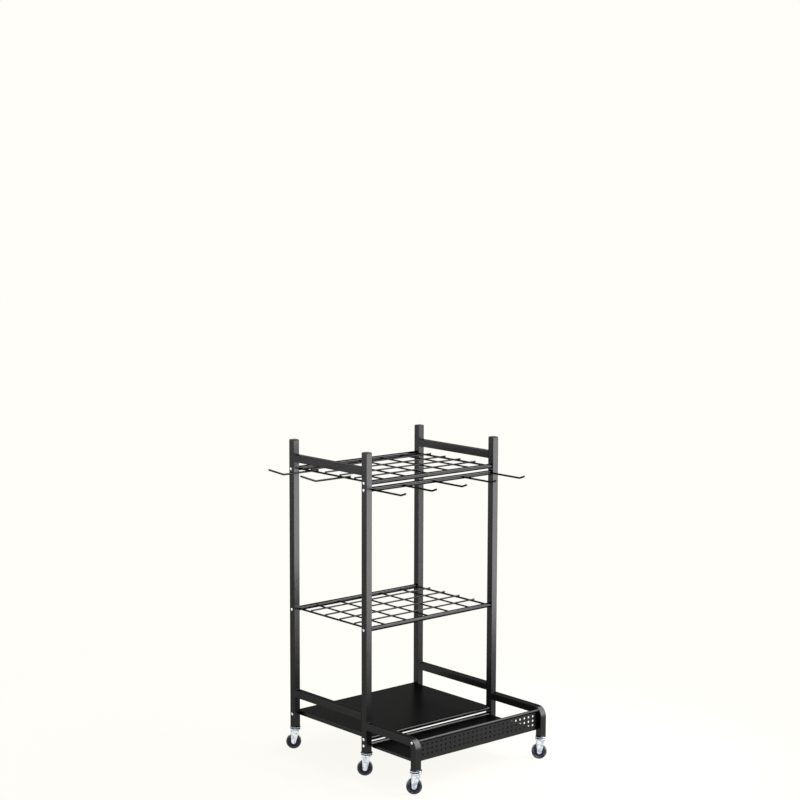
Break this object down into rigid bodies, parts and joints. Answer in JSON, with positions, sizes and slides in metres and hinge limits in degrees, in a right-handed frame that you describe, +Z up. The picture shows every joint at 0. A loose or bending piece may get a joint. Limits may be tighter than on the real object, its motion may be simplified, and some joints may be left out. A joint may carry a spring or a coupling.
{
  "type": "tool_rack",
  "caption": "Freestanding garden tool rack: square-tube frame on swivel casters, two wire grids, front and side hooks, low shelf and a front tray behind a perforated panel.",
  "frame": {"origin": "on the floor under the middle of the overall box, side hooks included", "axes": "+X to the right seen from the front, +Y to the back, +Z up"},
  "size_m": [0.7207, 0.6286, 1],
  "materials": {
    "frame": "satin black powder coat on steel tube, wire and sheet",
    "caps": "moulded black plastic, fine matte grain",
    "zinc": "bright zinc plate on stamped and turned steel",
    "core": "moulded dark grey nylon",
    "tyre": "smooth dark blue-grey rubber tread"
  },
  "bodies": {
    "rack": {"post_front_left": "frame", "post_front_right": "frame", "post_rear_left": "frame", "post_rear_right": "frame", "post_caps": "caps", "top_bar_left": "frame", "top_bar_right": "frame", "guard_bar_left": "frame", "guard_bar_right": "frame", "base_arm_left": "frame", "base_arm_right": "frame", "top_front_rail": "frame", "hook_rail": "frame", "top_rear_rail": "frame", "middle_front_rail": "frame", "middle_rear_rail": "frame", "base_front_rail": "frame", "tray_rail": "frame", "base_rear_rail": "frame", "panel_rod": "frame", "top_side_rod_left": "frame", "top_side_rod_right": "frame", "middle_side_rod_left": "frame", "middle_side_rod_right": "frame", "top_y_wires": "frame", "top_x_wires": "frame", "middle_y_wires": "frame", "middle_x_wires": "frame", "front_hooks": "frame", "side_hooks": "frame", "base_shelf": "frame", "tray_floor": "frame", "front_panel": "frame", "frame_screws": "zinc", "caster_inserts": "caps", "caster_stems": "zinc"},
    "fork_leg_left": {"fork_leg_left": "zinc", "axle_leg_left": "zinc"},
    "wheel_leg_left": {"wheel_core_leg_left": "core", "tyre_leg_left": "tyre"},
    "fork_leg_right": {"fork_leg_right": "zinc", "axle_leg_right": "zinc"},
    "wheel_leg_right": {"wheel_core_leg_right": "core", "tyre_leg_right": "tyre"},
    "fork_front_left": {"fork_front_left": "zinc", "axle_front_left": "zinc"},
    "wheel_front_left": {"wheel_core_front_left": "core", "tyre_front_left": "tyre"},
    "fork_front_right": {"fork_front_right": "zinc", "axle_front_right": "zinc"},
    "wheel_front_right": {"wheel_core_front_right": "core", "tyre_front_right": "tyre"},
    "fork_rear_left": {"fork_rear_left": "zinc", "axle_rear_left": "zinc"},
    "wheel_rear_left": {"wheel_core_rear_left": "core", "tyre_rear_left": "tyre"},
    "fork_rear_right": {"fork_rear_right": "zinc", "axle_rear_right": "zinc"},
    "wheel_rear_right": {"wheel_core_rear_right": "core", "tyre_rear_right": "tyre"}
  },
  "joints": [
    {"name": "swivel_leg_left", "type": "hinge", "parent": "rack", "child": "fork_leg_left", "pos_m": [-0.18403, -0.29521, 0.0655], "axis": [0, 0, 1], "continuous": true},
    {"name": "roll_leg_left", "type": "hinge", "parent": "fork_leg_left", "child": "wheel_leg_left", "pos_m": [-0.18786, -0.292, 0.024], "axis": [0.6428, 0.766, 0], "continuous": true},
    {"name": "swivel_leg_right", "type": "hinge", "parent": "rack", "child": "fork_leg_right", "pos_m": [0.33997, -0.29521, 0.0655], "axis": [0, 0, 1], "continuous": true},
    {"name": "roll_leg_right", "type": "hinge", "parent": "fork_leg_right", "child": "wheel_leg_right", "pos_m": [0.33614, -0.292, 0.024], "axis": [0.6428, 0.766, 0], "continuous": true},
    {"name": "swivel_front_left", "type": "hinge", "parent": "rack", "child": "fork_front_left", "pos_m": [-0.18403, -0.06721, 0.0655], "axis": [0, 0, 1], "continuous": true},
    {"name": "roll_front_left", "type": "hinge", "parent": "fork_front_left", "child": "wheel_front_left", "pos_m": [-0.18786, -0.064, 0.024], "axis": [0.6428, 0.766, 0], "continuous": true},
    {"name": "swivel_front_right", "type": "hinge", "parent": "rack", "child": "fork_front_right", "pos_m": [0.33997, -0.06721, 0.0655], "axis": [0, 0, 1], "continuous": true},
    {"name": "roll_front_right", "type": "hinge", "parent": "fork_front_right", "child": "wheel_front_right", "pos_m": [0.33614, -0.064, 0.024], "axis": [0.6428, 0.766, 0], "continuous": true},
    {"name": "swivel_rear_left", "type": "hinge", "parent": "rack", "child": "fork_rear_left", "pos_m": [-0.18403, 0.28879, 0.0655], "axis": [0, 0, 1], "continuous": true},
    {"name": "roll_rear_left", "type": "hinge", "parent": "fork_rear_left", "child": "wheel_rear_left", "pos_m": [-0.18786, 0.292, 0.024], "axis": [0.6428, 0.766, 0], "continuous": true},
    {"name": "swivel_rear_right", "type": "hinge", "parent": "rack", "child": "fork_rear_right", "pos_m": [0.33997, 0.28879, 0.0655], "axis": [0, 0, 1], "continuous": true},
    {"name": "roll_rear_right", "type": "hinge", "parent": "fork_rear_right", "child": "wheel_rear_right", "pos_m": [0.33614, 0.292, 0.024], "axis": [0.6428, 0.766, 0], "continuous": true}
  ]
}
